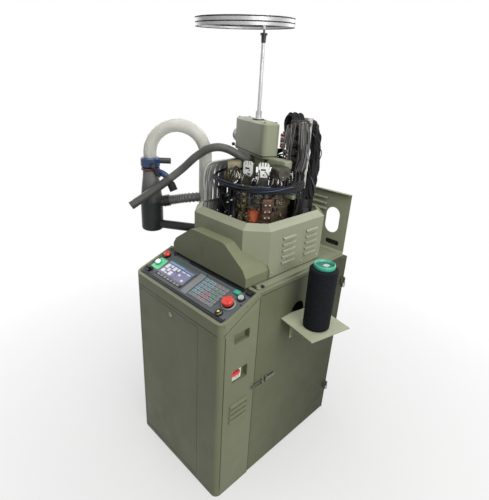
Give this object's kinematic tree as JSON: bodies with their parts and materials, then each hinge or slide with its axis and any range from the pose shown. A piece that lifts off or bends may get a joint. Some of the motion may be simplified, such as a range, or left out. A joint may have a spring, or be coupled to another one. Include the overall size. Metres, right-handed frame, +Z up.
{
  "type": "sock knitting machine",
  "caption": "Sock knitting machine: olive sheet-metal cabinet, sloping control console, guarded needle cylinder, gear cover with yarn hoop, suction unit and side yarn shelf.",
  "frame": {"origin": "on the floor under the needle cylinder axis", "axes": "+X to the machine's right side with the door, +Y to the rear, +Z up along the needle cylinder axis"},
  "size_m": [0.9736, 0.7975, 1.8665],
  "materials": {
    "frame_paint": "satin dark paint",
    "olive_paint": "semi-gloss olive grey paint, slightly textured",
    "rim_paint": "semi-gloss pale olive paint",
    "bed_casting": "painted casting",
    "panel_film": "printed film over a steel plate",
    "display": "glossy display window",
    "black_plastic": "black moulded plastic",
    "red_plastic": "glossy red moulding",
    "white_plastic": "glossy white moulding",
    "yellow_plastic": "glossy yellow moulding",
    "bright_steel": "ground and oiled steel",
    "tube_card": "green moulded cone",
    "yarn": "wound black yarn",
    "head_casting": "oily brown castings",
    "orange_plastic": "orange moulding",
    "gold_paint": "olive gold finish",
    "motor_black": "black paint",
    "chrome": "polished chrome plate",
    "hose_rubber": "dark grey rubber",
    "blue_plastic": "blue moulding",
    "clear_plastic": "milky clear hose",
    "aluminium": "anodised profile and valve bodies"
  },
  "bodies": {
    "base": {"base_frame": "frame_paint", "left_panel": "olive_paint", "rear_panel": "olive_paint", "machine_bed": "bed_casting", "console_shell": "olive_paint", "console_bezel": "rim_paint", "control_plate": "panel_film", "display_window": "display", "console_trim": "black_plastic", "side_recesses": "olive_paint", "door_hinges": "bright_steel", "front_hood": "olive_paint", "guard_right": "olive_paint", "guard_left": "olive_paint", "rear_guard_panel": "olive_paint", "cylinder_housing": "head_casting", "cam_box": "head_casting", "sinker_cap": "bright_steel", "orange_guide": "orange_plastic", "yarn_ring_plate": "head_casting", "finger_plates": "white_plastic", "finger_units": "gold_paint", "head_column": "olive_paint", "gear_cover": "rim_paint", "bearings": "bright_steel", "drive_belts": "black_plastic", "drive_motor": "motor_black", "yarn_post": "chrome", "yarn_ring": "chrome", "suction_tee": "hose_rubber", "suction_valve": "blue_plastic", "clear_hose": "clear_plastic", "grey_hose": "hose_rubber", "valve_tower": "aluminium", "control_box": "frame_paint", "cable_loom": "black_plastic"},
    "front_panel": {"front_panel": "olive_paint"},
    "panel_lock": {"panel_lock": "bright_steel"},
    "main_switch": {"main_switch": "red_plastic"},
    "side_door": {"side_door": "olive_paint", "yarn_shelf": "rim_paint", "cone_tube": "tube_card", "yarn_package": "yarn"},
    "latch_lever": {"latch_lever": "bright_steel"},
    "latch_bail": {"latch_bail": "bright_steel"},
    "emergency_stop": {"emergency_stop": "red_plastic"},
    "start_button": {"start_button": "white_plastic"},
    "stop_button": {"stop_button": "red_plastic"},
    "inch_button": {"inch_button": "yellow_plastic"},
    "reset_button": {"reset_button": "white_plastic"},
    "selector_knob": {"selector_knob": "black_plastic"},
    "cylinder": {"needle_cylinder": "bright_steel", "needles": "bright_steel"},
    "dial": {"dial": "bright_steel", "saw_disc": "bright_steel"},
    "lay_shaft": {"lay_shaft": "bright_steel"},
    "motor_rotor": {"motor_rotor": "bright_steel"},
    "valve_lever": {"valve_lever": "blue_plastic"},
    "yarn_fingers_a": {"yarn_fingers_a": "bright_steel"},
    "yarn_fingers_b": {"yarn_fingers_b": "bright_steel"}
  },
  "joints": [
    {"name": "front_panel_tilt", "type": "hinge", "parent": "base", "child": "front_panel", "pos_m": [0, -0.457, 0.033], "axis": [1, 0, 0], "range_deg": [0, 30]},
    {"name": "panel_lock_turn", "type": "hinge", "parent": "front_panel", "child": "panel_lock", "pos_m": [-0.021, -0.462, 0.78], "axis": [0, 1, 0], "range_deg": [0, 90]},
    {"name": "side_door_swing", "type": "hinge", "parent": "base", "child": "side_door", "pos_m": [0.287, 0.318, 0], "axis": [0, 0, 1], "range_deg": [0, 110]},
    {"name": "latch_lever_swing", "type": "hinge", "parent": "side_door", "child": "latch_lever", "pos_m": [0.286, -0.204, 0.509], "axis": [0, 0, -1], "range_deg": [0, 90]},
    {"name": "latch_bail_swing", "type": "hinge", "parent": "side_door", "child": "latch_bail", "pos_m": [0.286, -0.226, 0.509], "axis": [0, 0, 1], "range_deg": [0, 90]},
    {"name": "emergency_stop_press", "type": "slide", "parent": "base", "child": "emergency_stop", "axis": [0, 0.3587, -0.9335], "range_m": [0, 0.006]},
    {"name": "start_button_press", "type": "slide", "parent": "base", "child": "start_button", "axis": [0, 0.3587, -0.9335], "range_m": [0, 0.003], "stiffness_N_per_m": 250},
    {"name": "stop_button_press", "type": "slide", "parent": "base", "child": "stop_button", "axis": [0, 0.3587, -0.9335], "range_m": [0, 0.003], "stiffness_N_per_m": 250},
    {"name": "inch_button_press", "type": "slide", "parent": "base", "child": "inch_button", "axis": [0, 0.3587, -0.9335], "range_m": [0, 0.003], "stiffness_N_per_m": 250},
    {"name": "reset_button_press", "type": "slide", "parent": "base", "child": "reset_button", "axis": [0, 0.3587, -0.9335], "range_m": [0, 0.003], "stiffness_N_per_m": 250},
    {"name": "selector_turn", "type": "hinge", "parent": "base", "child": "selector_knob", "pos_m": [-0.24, -0.41358, 0.8826], "axis": [0, -0.3587, 0.9335], "range_deg": [-45, 45]},
    {"name": "main_switch_turn", "type": "hinge", "parent": "base", "child": "main_switch", "pos_m": [0.255, -0.371, 0.618], "axis": [1, 0, 0], "range_deg": [0, 90]},
    {"name": "cylinder_spin", "type": "hinge", "parent": "base", "child": "cylinder", "pos_m": [0, 0, 1.06], "axis": [0, 0, 1], "continuous": true},
    {"name": "dial_spin", "type": "hinge", "parent": "base", "child": "dial", "pos_m": [0, 0, 1.186], "axis": [0, 0, 1], "continuous": true},
    {"name": "lay_shaft_spin", "type": "hinge", "parent": "base", "child": "lay_shaft", "pos_m": [-0.16689, 0.06743, 0.94], "axis": [0, 0, 1], "continuous": true},
    {"name": "motor_spin", "type": "hinge", "parent": "base", "child": "motor_rotor", "pos_m": [-0.16689, -0.11257, 0.7], "axis": [0, 0, 1], "continuous": true},
    {"name": "valve_lever_turn", "type": "hinge", "parent": "base", "child": "valve_lever", "pos_m": [-0.37301, -0.2971, 1.294], "axis": [0.9397, -0.342, 0], "range_deg": [0, 90]},
    {"name": "fingers_a_lift", "type": "hinge", "parent": "base", "child": "yarn_fingers_a", "pos_m": [0.02032, -0.0815, 1.284], "axis": [-0.9703, -0.2419, 0], "range_deg": [0, 12], "stiffness_Nm_per_rad": 0.5},
    {"name": "fingers_b_lift", "type": "hinge", "parent": "base", "child": "yarn_fingers_b", "pos_m": [0.05835, -0.06042, 1.284], "axis": [-0.7193, -0.6947, 0], "range_deg": [0, 12], "stiffness_Nm_per_rad": 0.5}
  ],
  "couplings": [
    {"joint": "dial_spin", "follows": "cylinder_spin", "ratio": 1},
    {"joint": "lay_shaft_spin", "follows": "cylinder_spin", "ratio": 2},
    {"joint": "motor_spin", "follows": "cylinder_spin", "ratio": 5}
  ]
}
